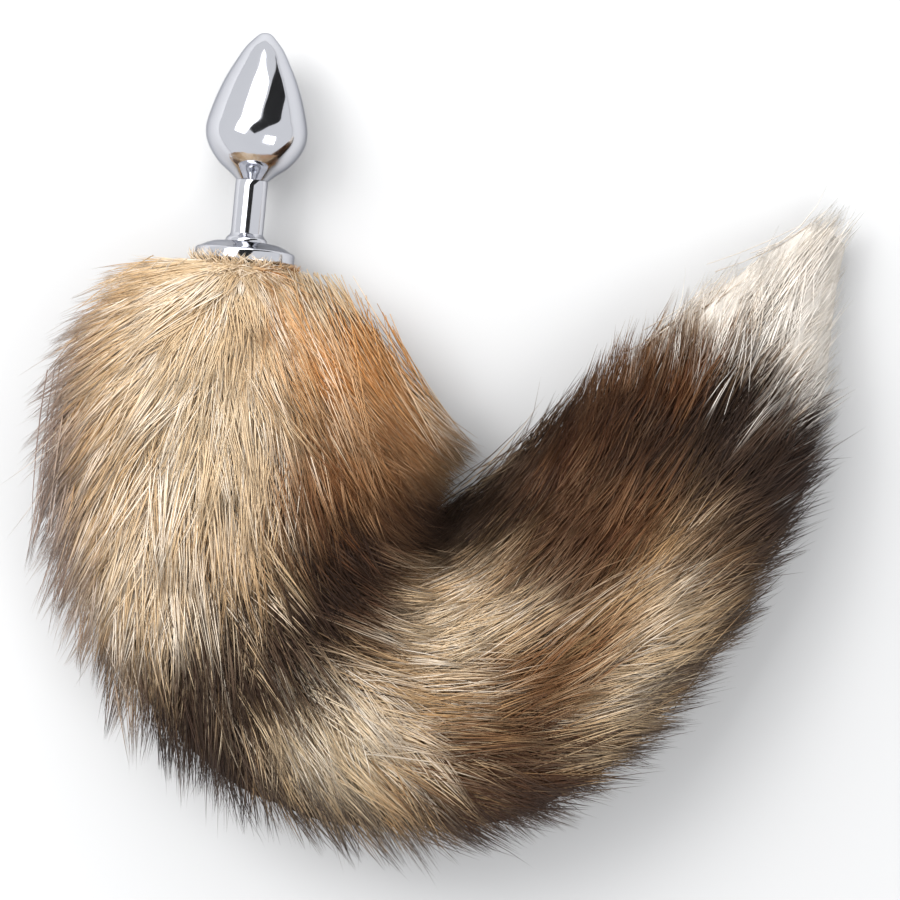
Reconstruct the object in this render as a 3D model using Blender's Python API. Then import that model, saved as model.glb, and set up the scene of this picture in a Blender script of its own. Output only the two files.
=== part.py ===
"""Polished metal plug with a long curled fur tail, lying on a flat surface.

Metres, +Z up, seen in plan from above: the plug's axis is level and points along +Y, from the
tail to the bulb's tip. The tail leaves the flange along -Y and curls to +X and then to +Y.
"""

import math
import random

import bmesh
import bpy
from mathutils import Vector

MM = 0.001

BULB_DIAMETER = 28.0 * MM
BULB_LENGTH = 40.8 * MM
TIP_RADIUS = 3.2 * MM
NECK_DIAMETER = 8.9 * MM
NECK_LENGTH = 17.4 * MM
FOOT_RING_WIDTH = 1.3 * MM
FOOT_RING_HEIGHT = 0.8 * MM
SEAT_LAND_WIDTH = 2.4 * MM
FLANGE_DIAMETER = 27.5 * MM
FLANGE_THICKNESS = 5.6 * MM
FLANGE_DOME = 1.9 * MM
FLANGE_RIM_ROUND = 0.9 * MM
LATHE_SIDES = 32

POST_DIAMETER = 6.0 * MM
POST_IN_FLANGE = 3.0 * MM
POST_IN_TAIL = 26.0 * MM
POST_CHAMFER = 0.6 * MM
POST_SIDES = 16
CLEARANCE = 0.3 * MM

TAIL_LENGTH = 333.0 * MM
TAIL_WIDTH = 115.0 * MM
TAIL_HEIGHT = 58.0 * MM
TAIL_ROOT_DIAMETER = 23.4 * MM
BACKING_SHARE = 0.74
BACKING_END_SHARE = 0.97
BACKING_FLAT_SHARE = 1.42
BACKING_RINGS = 26
BACKING_SIDES = 16
LOCK_LENGTH = 50.0 * MM
LOCK_WIDTH = 21.0 * MM
LOCK_THICKNESS = 9.0 * MM
LOCK_ROWS = 14
LOCK_SIDES = 5
FIRST_LOCK_SHARE = 0.004
LAST_LOCK_SHARE = 0.904
LOCK_ROOT_SHARE = 0.58
LOCK_BULGE_SHARE = 1.08
LOCK_BULGE_AT_SHARE = 0.42
LOCK_SPREAD_SHARE = 0.05
LOCK_SEED = 11

# Bulb, from the tip to the neck: distance as a share of BULB_LENGTH, radius as a share of half
# BULB_DIAMETER.
BULB_SECTIONS = (
    # along, radius
    (0.10, 0.36),
    (0.20, 0.53),
    (0.32, 0.705),
    (0.46, 0.86),
    (0.59, 0.965),
    (0.66, 1.0),
    (0.74, 0.975),
    (0.82, 0.865),
    (0.90, 0.675),
    (0.96, 0.45),
)

# Tail, from its root to the white tip: along as a share of TAIL_LENGTH, heading in degrees from
# +X, reach to the inner and the outer side of the curl as shares of half TAIL_WIDTH, and height as
# a share of TAIL_HEIGHT.
TAIL_SECTIONS = (
    # along, heading, inner, outer, height
    (0.000, -90, 0.24, 0.36, 0.47),
    (0.020, -98, 0.46, 0.84, 0.58),
    (0.040, -101, 0.68, 0.98, 0.70),
    (0.083, -94, 0.93, 0.99, 0.85),
    (0.167, -74, 1.10, 0.99, 0.97),
    (0.250, -59, 1.20, 1.02, 1.00),
    (0.333, -37, 1.14, 1.00, 1.00),
    (0.417, -10, 1.00, 0.94, 0.96),
    (0.500, 25, 0.90, 0.85, 0.90),
    (0.583, 49, 0.86, 0.77, 0.84),
    (0.667, 60, 0.81, 0.70, 0.78),
    (0.750, 66, 0.75, 0.64, 0.70),
    (0.833, 70, 0.58, 0.50, 0.56),
    (0.917, 64, 0.34, 0.29, 0.38),
    (1.000, 54, 0.11, 0.09, 0.16),
)
ALONG, HEADING, INNER, OUTER, HEIGHT = range(5)

# One lock, from its root to its point: along its own length, width and thickness as shares of
# LOCK_WIDTH and LOCK_THICKNESS.
LOCK_SECTIONS = (
    # along, width, thickness
    (0.00, 0.75, 0.90),
    (0.34, 1.00, 1.00),
    (0.64, 0.72, 0.70),
    (0.86, 0.34, 0.42),
)

AXIS_HEIGHT = BULB_DIAMETER / 2
WIDEST_SHARE = 0.34  # where the tail is widest, as a share of its height
ROUND_ROOT_SHARE = TAIL_SECTIONS[2][0]  # past this share along, the tail lies flat on its underside


def read_table(rows, column, along):
    """The column's value at a share along the rows, on a smooth curve through them."""
    last = len(rows) - 1
    along = min(max(along, rows[0][0]), rows[last][0])
    index = 0
    while index < last - 1 and along > rows[index + 1][0]:
        index += 1
    start, end = rows[index], rows[index + 1]
    before, after = rows[max(index - 1, 0)], rows[min(index + 2, last)]
    span = end[0] - start[0]
    leaving = (end[column] - before[column]) / (end[0] - before[0]) * span
    arriving = (after[column] - start[column]) / (after[0] - start[0]) * span
    t = (along - start[0]) / span
    return (
        (2 * t**3 - 3 * t**2 + 1) * start[column]
        + (t**3 - 2 * t**2 + t) * leaving
        + (3 * t**2 - 2 * t**3) * end[column]
        + (t**3 - t**2) * arriving
    )


def new_material(name, colour, roughness, metallic):
    material = bpy.data.materials.new(name)
    material.use_nodes = True
    shader = material.node_tree.nodes["Principled BSDF"]
    shader.inputs["Base Color"].default_value = (*colour, 1.0)
    shader.inputs["Roughness"].default_value = roughness
    shader.inputs["Metallic"].default_value = metallic
    return material


def new_object(name, mesh_edit, material=None):
    mesh = bpy.data.meshes.new(name)
    mesh_edit.to_mesh(mesh)
    mesh_edit.free()
    if material is not None:
        mesh.materials.append(material)
    obj = bpy.data.objects.new(name, mesh)
    bpy.context.scene.collection.objects.link(obj)
    return obj


def shade_round(obj, sharp_degrees):
    obj.data.shade_smooth()
    obj.data.set_sharp_from_angle(angle=math.radians(sharp_degrees))


def arc(centre, radius, start_degrees, end_degrees, steps):
    """Points of an arc as (radius, y) pairs, both ends included."""
    points = []
    for step in range(steps + 1):
        turn = math.radians(start_degrees + (end_degrees - start_degrees) * step / steps)
        points.append((centre[0] + radius * math.cos(turn), centre[1] + radius * math.sin(turn)))
    return points


def turned(profile, sides):
    """A body turned about the Y axis from (radius, y) pairs that start and end on the axis."""
    edit = bmesh.new()
    rings = []
    for radius, y in profile:
        if radius == 0:
            rings.append([edit.verts.new((0, y, 0))])
            continue
        turns = [2 * math.pi * (side + 0.5) / sides for side in range(sides)]
        rings.append(
            [edit.verts.new((radius * math.cos(t), y, radius * math.sin(t))) for t in turns]
        )
    for ring, following in zip(rings, rings[1:]):
        for side in range(sides):
            beside = (side + 1) % sides
            corners = [ring[side % len(ring)], ring[beside % len(ring)]]
            corners += [following[beside % len(following)], following[side % len(following)]]
            edit.faces.new(list(dict.fromkeys(corners)))
    bmesh.ops.recalc_face_normals(edit, faces=edit.faces)
    return edit


def plug_profile():
    """(radius, y) pairs from the bulb's tip down to the flange and into its blind hole."""
    neck = NECK_DIAMETER / 2
    rim = FLANGE_DIAMETER / 2
    foot = neck + FOOT_RING_WIDTH
    land = foot + SEAT_LAND_WIDTH
    seat = FLANGE_THICKNESS
    bulb_foot = seat + NECK_LENGTH
    tip = bulb_foot + BULB_LENGTH
    points = [(0.0, tip)]
    points += arc((0.0, tip - TIP_RADIUS), TIP_RADIUS, 70, 30, 3)
    points += [
        (radius * BULB_DIAMETER / 2, tip - along * BULB_LENGTH) for along, radius in BULB_SECTIONS
    ]
    points += [(neck, bulb_foot), (neck, seat + FOOT_RING_HEIGHT + FOOT_RING_WIDTH / 2)]
    points += arc((neck, seat + FOOT_RING_HEIGHT / 2), FOOT_RING_WIDTH, 60, 0, 2)
    points += [(foot, seat), (land, seat)]
    for share in (0.4, 0.75):
        radius = land + (rim - FLANGE_RIM_ROUND - land) * share
        points.append((radius, seat - FLANGE_DOME * share**1.5))
    round_top = seat - FLANGE_DOME - FLANGE_RIM_ROUND
    points += arc((rim - FLANGE_RIM_ROUND, round_top), FLANGE_RIM_ROUND, 75, 0, 3)
    points += arc((rim - FLANGE_RIM_ROUND, FLANGE_RIM_ROUND), FLANGE_RIM_ROUND, 0, -90, 3)
    hole = POST_DIAMETER / 2 + CLEARANCE
    depth = POST_IN_FLANGE + CLEARANCE
    points += [(hole, 0.0), (hole, depth), (0.0, depth)]
    return points


def build_plug():
    """Bulb, neck and flange in one: the flange's underside is at y = 0."""
    metal = new_material("polished_metal", (0.83, 0.83, 0.85), 0.08, 1.0)
    plug = new_object("plug", turned(plug_profile(), LATHE_SIDES), metal)
    plug.location = (0, 0, AXIS_HEIGHT)
    shade_round(plug, 32)
    return plug


def build_post():
    """The hidden pin that holds the tail, half in the flange and half in the tail's root."""
    steel = new_material("pin_metal", (0.62, 0.62, 0.64), 0.35, 1.0)
    radius = POST_DIAMETER / 2
    low, high = -POST_IN_TAIL, POST_IN_FLANGE
    profile = [(0.0, high), (radius - POST_CHAMFER, high), (radius, high - POST_CHAMFER)]
    profile += [(radius, low + POST_CHAMFER), (radius - POST_CHAMFER, low), (0.0, low)]
    post = new_object("tail_post", turned(profile, POST_SIDES), steel)
    post.location = (0, 0, AXIS_HEIGHT)
    shade_round(post, 40)
    return post


def tail_line(steps=400):
    """Points of the tail's centre line in plan, evenly spaced, from its root face to its tip."""
    point = Vector((0, -CLEARANCE))
    line = [point.copy()]
    for step in range(steps):
        heading = math.radians(read_table(TAIL_SECTIONS, HEADING, (step + 0.5) / steps))
        point += Vector((math.cos(heading), math.sin(heading))) * TAIL_LENGTH / steps
        line.append(point.copy())
    return line


class Tail:
    """The tail's envelope: places in it are given along the curl, across it and up."""

    def __init__(self):
        self.line = tail_line()

    def frame(self, along):
        """Centre point and the unit vectors ahead and to the inner side at a share along."""
        heading = math.radians(read_table(TAIL_SECTIONS, HEADING, along))
        ahead = Vector((math.cos(heading), math.sin(heading), 0))
        steps = len(self.line) - 1
        index = min(max(along, 0.0), 1.0) * steps
        low = min(int(index), steps - 1)
        centre = self.line[low].lerp(self.line[low + 1], index - low).to_3d()
        centre += ahead * TAIL_LENGTH * max(along - 1.0, 0.0)
        return centre, ahead, Vector((-ahead.y, ahead.x, 0))

    def section(self, along):
        """Inner reach, outer reach, top, middle and bottom of the envelope at a share along."""
        half = TAIL_WIDTH / 2
        inner = half * read_table(TAIL_SECTIONS, INNER, along)
        outer = half * read_table(TAIL_SECTIONS, OUTER, along)
        top = TAIL_HEIGHT * read_table(TAIL_SECTIONS, HEIGHT, along)
        rounded = max(1 - along / ROUND_ROOT_SHARE, 0.0)
        middle = rounded * AXIS_HEIGHT + (1 - rounded) * WIDEST_SHARE * top
        bottom = rounded * (AXIS_HEIGHT - TAIL_ROOT_DIAMETER / 2)
        return inner, outer, top, middle, bottom

    def place(self, along, turn, share):
        """A point at a share of the way from the middle to the envelope, at a turn in radians
        from the inner edge over the top to the outer edge."""
        centre, _, inward = self.frame(along)
        inner, outer, top, middle, bottom = self.section(along)
        reach = inner if math.cos(turn) > 0 else outer
        rise = top - middle if math.sin(turn) > 0 else middle - bottom
        across = inward * reach * math.cos(turn) * share
        return centre + across + Vector((0, 0, middle + rise * math.sin(turn) * share))


def backing_ring(tail, along):
    """The backing's section: a round root that soon becomes a dome with a flat underside."""
    centre, _, inward = tail.frame(along)
    inner, outer, top, middle, bottom = tail.section(along)
    rounded = max(1 - along / ROUND_ROOT_SHARE, 0.0)
    slim = rounded + (1 - rounded) * BACKING_SHARE
    root = TAIL_ROOT_DIAMETER / 2
    flatness = rounded + (1 - rounded) * BACKING_FLAT_SHARE
    points = []
    for side in range(BACKING_SIDES):
        turn = 2 * math.pi * side / BACKING_SIDES
        reach = (inner if math.cos(turn) > 0 else outer) * slim
        reach = rounded * min(reach, root) + (1 - rounded) * reach
        if math.sin(turn) >= 0:
            rise = (top - middle) * slim * math.sin(turn)
        else:
            rise = (bottom - middle) * min(-math.sin(turn) * flatness, 1.0)
        points.append(centre + inward * reach * math.cos(turn) + Vector((0, 0, middle + rise)))
    return points


def lofted(edit, rings, point=None):
    """Skins rings of equal count, caps the first one and closes the last with a cap or a point."""
    made = [[edit.verts.new(corner) for corner in ring] for ring in rings]
    for ring, following in zip(made, made[1:]):
        for side in range(len(ring)):
            beside = (side + 1) % len(ring)
            edit.faces.new((ring[side], ring[beside], following[beside], following[side]))
    edit.faces.new(made[0][::-1])
    if point is None:
        edit.faces.new(made[-1])
        return
    end = edit.verts.new(point)
    for side in range(len(made[-1])):
        edit.faces.new((made[-1][side], made[-1][(side + 1) % len(made[-1])], end))


def build_backing(tail, fur):
    edit = bmesh.new()
    rings = []
    for step in range(BACKING_RINGS):
        rings.append(backing_ring(tail, BACKING_END_SHARE * (step / (BACKING_RINGS - 1)) ** 1.15))
    lofted(edit, rings)
    bmesh.ops.recalc_face_normals(edit, faces=edit.faces)
    return new_object("tail_fur", edit, fur)


def lock_rings(tail, along, turn, length, width, point_share):
    """A tapered lock that leaves the backing at along and turn and ends on the envelope."""
    end_along = min(along + length / TAIL_LENGTH, 1.0)
    root = tail.place(along, turn, LOCK_ROOT_SHARE)
    middle = tail.place(along + LOCK_BULGE_AT_SHARE * (end_along - along), turn, LOCK_BULGE_SHARE)
    point = tail.place(end_along, turn, point_share)
    outward = (tail.place(end_along, turn, 1.0) - tail.place(end_along, turn, 0.5)).normalized()
    rings = []
    for share, wide, thick in LOCK_SECTIONS:
        centre = root * (1 - share) ** 2 + middle * 2 * share * (1 - share) + point * share**2
        ahead = ((middle - root) * (1 - share) + (point - middle) * share).normalized()
        beside = ahead.cross(outward).normalized()
        lifted = beside.cross(ahead)
        ring = []
        for side in range(LOCK_SIDES):
            angle = math.pi / 2 + 2 * math.pi * side / LOCK_SIDES
            corner = centre + beside * math.cos(angle) * wide * width / 2
            corner += lifted * math.sin(angle) * thick * LOCK_THICKNESS * width / LOCK_WIDTH / 2
            corner.z = max(corner.z, CLEARANCE)
            ring.append(corner)
        rings.append(ring)
    point.z = max(point.z, 2 * CLEARANCE)
    return rings, point


def build_locks(tail, fur):
    """A collection of every lock of the coat, in rows that overlap from the root to the tip."""
    chance = random.Random(LOCK_SEED)
    locks = bpy.data.collections.new("locks")
    pitch = (LAST_LOCK_SHARE - FIRST_LOCK_SHARE) / (LOCK_ROWS - 1)
    for row in range(LOCK_ROWS):
        along = FIRST_LOCK_SHARE + pitch * row
        inner, outer, top, _, _ = tail.section(along + LOCK_LENGTH / TAIL_LENGTH / 3)
        girth = math.pi / 2 * ((inner + outer) / 2 + top)
        count = max(round(girth / LOCK_WIDTH), 3)
        stagger = 0.25 if row % 2 == 0 else 0.75
        for column in range(count):
            turn = math.pi * (column + stagger + chance.uniform(-0.1, 0.1)) / count
            start = along + pitch * chance.uniform(-0.3, 0.3)
            rings, point = lock_rings(
                tail,
                max(start, FIRST_LOCK_SHARE),
                turn,
                LOCK_LENGTH * chance.uniform(0.88, 1.12),
                LOCK_WIDTH * chance.uniform(0.9, 1.1),
                1.0 + chance.uniform(-LOCK_SPREAD_SHARE, LOCK_SPREAD_SHARE),
            )
            edit = bmesh.new()
            lofted(edit, rings, point)
            bmesh.ops.triangulate(edit, faces=edit.faces)
            bmesh.ops.recalc_face_normals(edit, faces=edit.faces)
            locks.objects.link(new_object("lock", edit, fur))
    return locks


def build_clearance():
    """Cutter for the blind hole that takes the pin, and for the room round the flange."""
    hole = POST_DIAMETER / 2 + CLEARANCE
    room = FLANGE_DIAMETER / 2 + CLEARANCE
    low, high = -(POST_IN_TAIL + CLEARANCE), FLANGE_THICKNESS + NECK_LENGTH
    profile = [(0.0, high), (room, high), (room, -CLEARANCE), (hole, -CLEARANCE)]
    profile += [(hole, low), (0.0, low)]
    clearance = new_object("plug_clearance", turned(profile, LATHE_SIDES))
    clearance.location = (0, 0, AXIS_HEIGHT)
    return clearance


def boolean(obj, operation, **operand):
    modifier = obj.modifiers.new(operation.lower(), "BOOLEAN")
    modifier.operation = operation
    modifier.solver = "MANIFOLD"
    for setting, value in operand.items():
        setattr(modifier, setting, value)


def apply_modifiers(obj):
    """Applies the modifiers and keeps the largest skin alone, without sealed pockets and crumbs."""
    graph = bpy.context.evaluated_depsgraph_get()
    edit = bmesh.new()
    edit.from_mesh(obj.evaluated_get(graph).to_mesh())
    obj.modifiers.clear()
    skins = []
    unseen = set(edit.verts)
    while unseen:
        skin = []
        front = [unseen.pop()]
        while front:
            vert = front.pop()
            skin.append(vert)
            beside = {edge.other_vert(vert) for edge in vert.link_edges} & unseen
            unseen -= beside
            front.extend(beside)
        skins.append(skin)
    skins.sort(key=len)
    others = [vert for skin in skins[:-1] for vert in skin]
    bmesh.ops.delete(edit, geom=others, context="VERTS")
    edit.to_mesh(obj.data)
    edit.free()


def build_tail():
    fur = new_material("fox_fur", (0.46, 0.30, 0.17), 0.85, 0.0)
    tail = Tail()
    fused = build_backing(tail, fur)
    locks = build_locks(tail, fur)
    clearance = build_clearance()
    boolean(fused, "UNION", operand_type="COLLECTION", collection=locks)
    boolean(fused, "DIFFERENCE", object=clearance)
    apply_modifiers(fused)
    for helper in [*locks.objects, clearance]:
        bpy.data.objects.remove(helper, do_unlink=True)
    bpy.data.collections.remove(locks)
    return fused


def centre_on_floor(holder, pieces):
    """Moves the holder so that the middle of the object's footprint is the origin."""
    bpy.context.view_layer.update()
    graph = bpy.context.evaluated_depsgraph_get()
    corners = []
    for piece in pieces:
        evaluated = piece.evaluated_get(graph)
        corners += [evaluated.matrix_world @ Vector(corner) for corner in evaluated.bound_box]
    low = Vector([min(corner[axis] for corner in corners) for axis in range(3)])
    high = Vector([max(corner[axis] for corner in corners) for axis in range(3)])
    holder.location = (-(low.x + high.x) / 2, -(low.y + high.y) / 2, -low.z)


def main():
    for obj in list(bpy.data.objects):
        bpy.data.objects.remove(obj, do_unlink=True)
    pieces = [build_plug(), build_post(), build_tail()]
    holder = bpy.data.objects.new("resting_place", None)
    bpy.context.scene.collection.objects.link(holder)
    for piece in pieces:
        piece.parent = holder
    centre_on_floor(holder, pieces)


main()
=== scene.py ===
"""Looks of the polished plug and its curled fur tail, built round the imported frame."""

import math

import bmesh
import bpy
import numpy as np
from mathutils import Matrix, Vector

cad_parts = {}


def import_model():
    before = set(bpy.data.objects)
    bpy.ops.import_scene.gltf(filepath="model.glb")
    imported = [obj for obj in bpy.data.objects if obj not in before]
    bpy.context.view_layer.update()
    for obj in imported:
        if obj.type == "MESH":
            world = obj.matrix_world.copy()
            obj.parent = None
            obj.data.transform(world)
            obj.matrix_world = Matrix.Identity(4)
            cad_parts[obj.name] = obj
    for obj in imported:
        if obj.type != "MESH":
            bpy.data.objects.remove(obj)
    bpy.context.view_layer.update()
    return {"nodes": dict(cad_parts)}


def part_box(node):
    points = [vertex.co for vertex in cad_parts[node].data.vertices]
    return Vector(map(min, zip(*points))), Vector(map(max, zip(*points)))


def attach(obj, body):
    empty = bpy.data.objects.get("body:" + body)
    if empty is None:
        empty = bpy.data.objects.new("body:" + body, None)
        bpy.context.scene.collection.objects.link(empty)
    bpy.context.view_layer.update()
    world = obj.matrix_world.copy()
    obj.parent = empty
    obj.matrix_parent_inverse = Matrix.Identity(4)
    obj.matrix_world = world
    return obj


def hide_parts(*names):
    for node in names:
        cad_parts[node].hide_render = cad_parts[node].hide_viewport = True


MM = 0.001

# The plug, as in the solids.
BULB_DIAMETER = 28.0 * MM
BULB_LENGTH = 40.8 * MM
TIP_RADIUS = 3.2 * MM
TIP_ROUND_END = 45  # degrees up from the bulb's widest plane
NECK_DIAMETER = 8.9 * MM
NECK_LENGTH = 17.4 * MM
SEAM_DEPTH = 0.12 * MM
FOOT_RING_WIDTH = 1.3 * MM
FOOT_RING_HEIGHT = 0.8 * MM
SEAT_LAND_WIDTH = 2.4 * MM
FLANGE_DIAMETER = 27.5 * MM
FLANGE_THICKNESS = 5.6 * MM
FLANGE_DOME = 1.9 * MM
FLANGE_RIM_ROUND = 0.9 * MM
POST_DIAMETER = 6.0 * MM
POST_IN_FLANGE = 3.0 * MM
CLEARANCE = 0.3 * MM
LATHE_SIDES = 144

BULB_SECTIONS = (
    # along, radius
    (0.10, 0.36),
    (0.20, 0.53),
    (0.32, 0.705),
    (0.46, 0.86),
    (0.59, 0.965),
    (0.66, 1.0),
    (0.74, 0.975),
    (0.82, 0.865),
    (0.90, 0.675),
    (0.96, 0.45),
)

# The tail's envelope, as in the solids.
TAIL_LENGTH = 333.0 * MM
TAIL_WIDTH = 115.0 * MM
TAIL_HEIGHT = 58.0 * MM
TAIL_ROOT_DIAMETER = 23.4 * MM
WIDEST_SHARE = 0.34
ROUND_ROOT_SHARE = 0.04

TAIL_SECTIONS = (
    # along, heading, inner, outer, height
    (0.000, -90, 0.24, 0.36, 0.47),
    (0.020, -98, 0.46, 0.84, 0.58),
    (0.040, -101, 0.68, 0.98, 0.70),
    (0.083, -94, 0.93, 0.99, 0.85),
    (0.167, -74, 1.10, 0.99, 0.97),
    (0.250, -59, 1.20, 1.02, 1.00),
    (0.333, -37, 1.14, 1.00, 1.00),
    (0.417, -10, 1.00, 0.94, 0.96),
    (0.500, 25, 0.90, 0.85, 0.90),
    (0.583, 49, 0.86, 0.77, 0.84),
    (0.667, 60, 0.81, 0.70, 0.78),
    (0.750, 66, 0.75, 0.64, 0.70),
    (0.833, 70, 0.58, 0.50, 0.56),
    (0.917, 64, 0.34, 0.29, 0.38),
    (1.000, 54, 0.11, 0.09, 0.16),
)
HEADING, INNER, OUTER, HEIGHT = range(1, 5)

# How far the coat reaches across: shares of the envelope's reach to the inner and the outer side.
COAT_EDGES = (
    # along, inner, outer
    (0.00, 0.95, 0.60),
    (0.02, 0.94, 0.54),
    (0.05, 0.88, 0.68),
    (0.10, 0.87, 0.84),
    (0.15, 0.88, 0.90),
    (0.20, 0.91, 0.94),
    (0.30, 0.95, 0.96),
    (0.40, 0.95, 0.89),
    (0.50, 0.96, 0.87),
    (0.60, 0.97, 0.89),
    (0.70, 0.94, 0.89),
    (0.80, 1.00, 0.97),
    (0.88, 0.95, 1.02),
    (0.96, 0.68, 0.90),
    (1.06, 0.30, 0.60),
)

# How far the hair turns away from the tail's own heading, in degrees towards the outer side.
COAT_SPLAY = (
    # along, inner, middle, outer
    (0.00, -25, 10, 70),
    (0.15, -16, 12, 52),
    (0.30, -10, 22, 56),
    (0.45, -2, 22, 58),
    (0.60, 0, 17, 50),
    (0.80, -6, 9, 38),
    (0.90, -8, 2, 16),
    (1.06, 0, 0, 4),
)
SPLAY_INNER, SPLAY_MIDDLE, SPLAY_OUTER = range(1, 4)
FAN_END = 0.24  # up to here along, the hair fans straight out of the root
FAN_END_INNER = 0.10  # and that much further on the inner side
FAN_FADE = 0.12

# The hair.
HAIR_PIECES = 5
STRANDS_IN_PIECE = 7900
STRAND_SEGMENTS = 4
STRAND_WIDTH = 0.26 * MM
HAIR_LENGTH = 46.0 * MM
HAIR_CURVE = 13.0  # degrees between a hair's root and its point
WISPS = 4200
WISP_SPREAD = 2.6 * MM
WISP_LOOSENESS = (0.12, 0.6)
WISP_RISE = (0.86, 1.0)
WISP_LENGTH = (0.75, 1.2)
RAGGED_EDGE = (0.89, 1.08)
COAT_END = 1.005
HAIR_UNDERNEATH = 0.20  # share of the hair that lies low on the sides
LOW_HAIR_ARC = 0.85  # radians that it reaches in under the tail
HAIR_ROOT_SPREAD = 1.2  # of a wisp's spread, against its loose points
HAIR_BEND_SPREAD = 0.9
HAIR_ROOT_DEPTH = 0.74  # shares of the height of a hair's point
HAIR_BEND_RISE = 1.07
NEAR_ROOT = 0.3  # up to here along, hair stays behind the flange
ROOT_HOLD = 25.0 * MM  # nearer to the root than this, wisps hold closer together
FREE_HAIRS = 0.06  # share of hairs that stray from their wisp
FREE_SPREAD = 1.2
FREE_TURN = 1.4
HAIR_TURN = 0.055  # radians, as spreads
WISP_TURN = 0.10
DRIFT_TURN = 0.16
WISP_TONE = 0.74  # the rest of a hair's tone is its own
TONE_CONTRAST = 1.35
TONE_DRIFT = 0.18
HAIR_SEED = 5
COLLAR_HAIRS = 520
COLLAR_REACH = 3.6 * MM
COLLAR_ARC = (-0.15, 1.15)  # half turns, over the flange from its right to its left
COLLAR_LIES_BACK = 1.8  # against what stands over the flange
COLLAR_LEAN = 0.22  # radians
COLLAR_COLOUR_AT = (0.05, 0.35)
UNDERCOAT_SHARE = 0.78
UNDERCOAT_SIDES = 72
UNDERCOAT_RINGS = 130
UNDERCOAT_END = 0.975
FINE_FURROWS = (0.035, 17)  # depth as a share, and how many round the tail
BROAD_FURROWS = (0.03, 5)
HAIR_ON_FLOOR = 0.5 * MM

# The coat's colours, 8-bit sRGB.
TAN = (194, 162, 122)
CREAM = (226, 207, 178)
GINGER = (208, 152, 92)
AMBER = (158, 116, 76)
RUST = (124, 80, 44)
UMBER = (92, 60, 38)
SABLE = (54, 35, 24)
ASH = (154, 136, 126)
WHITE = (242, 235, 226)

# Patches of colour laid over the tan coat one after another: the middle of each along and across
# the tail, its half length and half width, and how much of it shows.
COAT_PATCHES = (
    # along, across, half length, half width, strength, colour
    (0.07, -0.05, 0.15, 0.46, 0.65, CREAM),
    (0.04, 0.60, 0.10, 0.34, 0.80, GINGER),
    (0.18, 0.60, 0.11, 0.28, 0.75, AMBER),
    (0.12, 0.95, 0.10, 0.14, 0.60, CREAM),
    (0.18, 0.06, 0.09, 0.30, 0.55, CREAM),
    (0.21, 1.00, 0.08, 0.13, 0.55, ASH),
    (0.25, 0.60, 0.09, 0.34, 0.70, RUST),
    (0.25, 0.34, 0.07, 0.20, 0.80, RUST),
    (0.12, -0.92, 0.18, 0.30, 0.95, ASH),
    (0.25, -0.42, 0.07, 0.30, 0.60, CREAM),
    (0.34, 0.62, 0.09, 0.26, 0.85, UMBER),
    (0.32, 0.32, 0.070, 0.30, 0.97, SABLE),
    (0.33, 0.02, 0.055, 0.30, 0.97, SABLE),
    (0.32, -0.34, 0.040, 0.34, 0.95, SABLE),
    (0.33, -0.72, 0.035, 0.34, 0.90, SABLE),
    (0.41, 0.82, 0.13, 0.20, 1.00, SABLE),
    (0.385, 0.34, 0.04, 0.20, 0.80, UMBER),
    (0.40, -0.36, 0.042, 0.42, 0.95, CREAM),
    (0.47, 0.34, 0.08, 0.28, 0.75, CREAM),
    (0.495, -0.50, 0.042, 0.54, 0.97, UMBER),
    (0.52, 0.02, 0.04, 0.20, 0.55, RUST),
    (0.565, 0.30, 0.03, 0.24, 0.60, CREAM),
    (0.575, -0.50, 0.035, 0.30, 0.65, CREAM),
    (0.56, -0.10, 0.035, 0.24, 0.70, RUST),
    (0.61, 0.36, 0.05, 0.34, 0.80, UMBER),
    (0.64, -0.42, 0.05, 0.30, 0.60, CREAM),
    (0.63, 0.92, 0.22, 0.32, 0.95, SABLE),
    (0.68, 0.46, 0.08, 0.44, 0.88, UMBER),
    (0.70, 0.22, 0.05, 0.22, 0.60, RUST),
    (0.735, 0.70, 0.05, 0.20, 0.70, RUST),
    (0.72, -0.42, 0.06, 0.46, 0.70, UMBER),
    (0.785, 0.00, 0.080, 1.40, 0.97, SABLE),
    (0.805, 0.50, 0.040, 0.22, 0.70, RUST),
    (0.80, 0.95, 0.045, 0.25, 0.60, RUST),
)
# Hair points are dark along the outer edge and white past the end of the tail's dark part.
DARK_EDGE = (0.48, 0.74)
DARK_EDGE_FROM = 0.25
DARK_EDGE_FADE = 0.06
DARK_EDGE_STRENGTH = 0.95
WHITE_FROM = (0.832, 0.872)
EDGE_WANDER = 0.2
WHITE_WANDER = 0.02
PATCH_FADE = (1.3, 0.5)  # a patch begins and is full at these shares of its half sizes
DEEP_HAIR_GAMMA = 1.34
PALE_HAIR_GAMMA = 0.78
SILVER_SHARE = 0.42
UNDERCOAT_SHADE = 0.7
PAINT_WANDER = 0.022  # how far a wisp's colours stray along the tail

# The camera looks straight down on the lying object, rolled so that the plug leans as photographed.
CAMERA_ROLL = math.radians(5.5)
CAMERA_LENS = 120.0
CAMERA_SENSOR = 36.0
PHOTO_WIDTH = 900
PHOTO_SCALE = 3.625  # pixels to a millimetre at the height of the plug's axis
PHOTO_FLANGE = (244.1, 263.2)  # pixel of the flange's underside, on the plug's axis

# Metal, 8-bit sRGB, and the roughness of its clean and its handled parts.
CLEAN_METAL = (211, 212, 217)
HANDLED_METAL = (202, 203, 209)
METAL_EDGE = (0.50, 0.51, 0.54, 1.0)
METAL_ROUGHNESS = (0.035, 0.11)
PIN_BRIGHT = (190, 190, 194)
PIN_DULL = (160, 160, 165)

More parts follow.
